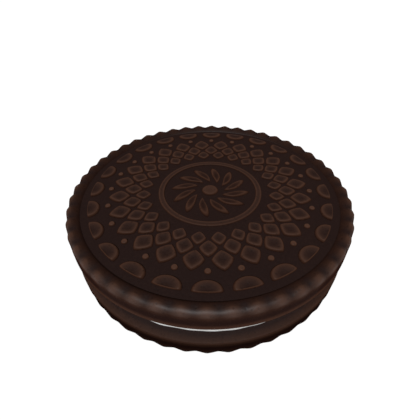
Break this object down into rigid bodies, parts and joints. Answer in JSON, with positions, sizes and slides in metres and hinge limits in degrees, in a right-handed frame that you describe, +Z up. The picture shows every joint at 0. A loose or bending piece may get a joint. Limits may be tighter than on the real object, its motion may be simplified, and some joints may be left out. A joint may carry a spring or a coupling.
{
  "type": "chocolate sandwich cookie",
  "caption": "Round sandwich biscuit: a disc of vanilla cream between two embossed dark chocolate wafers with ridged rims.",
  "frame": {"origin": "under the middle of the biscuit, level with the crests of the lower wafer's ridges that it stands on", "axes": "+Z up through the middle of both wafers; a crest of the ridged rims lies on +X"},
  "size_m": [0.0454, 0.0454, 0.0106],
  "materials": {
    "chocolate_wafer": "very dark baked cocoa biscuit, matt, finely crumbed, a little paler and browner on raised edges",
    "vanilla_cream": "smooth white sugar cream, soft satin"
  },
  "bodies": {
    "root": {"wafer_bottom": "chocolate_wafer", "cream_filling": "vanilla_cream", "wafer_top": "chocolate_wafer"}
  },
  "joints": []
}
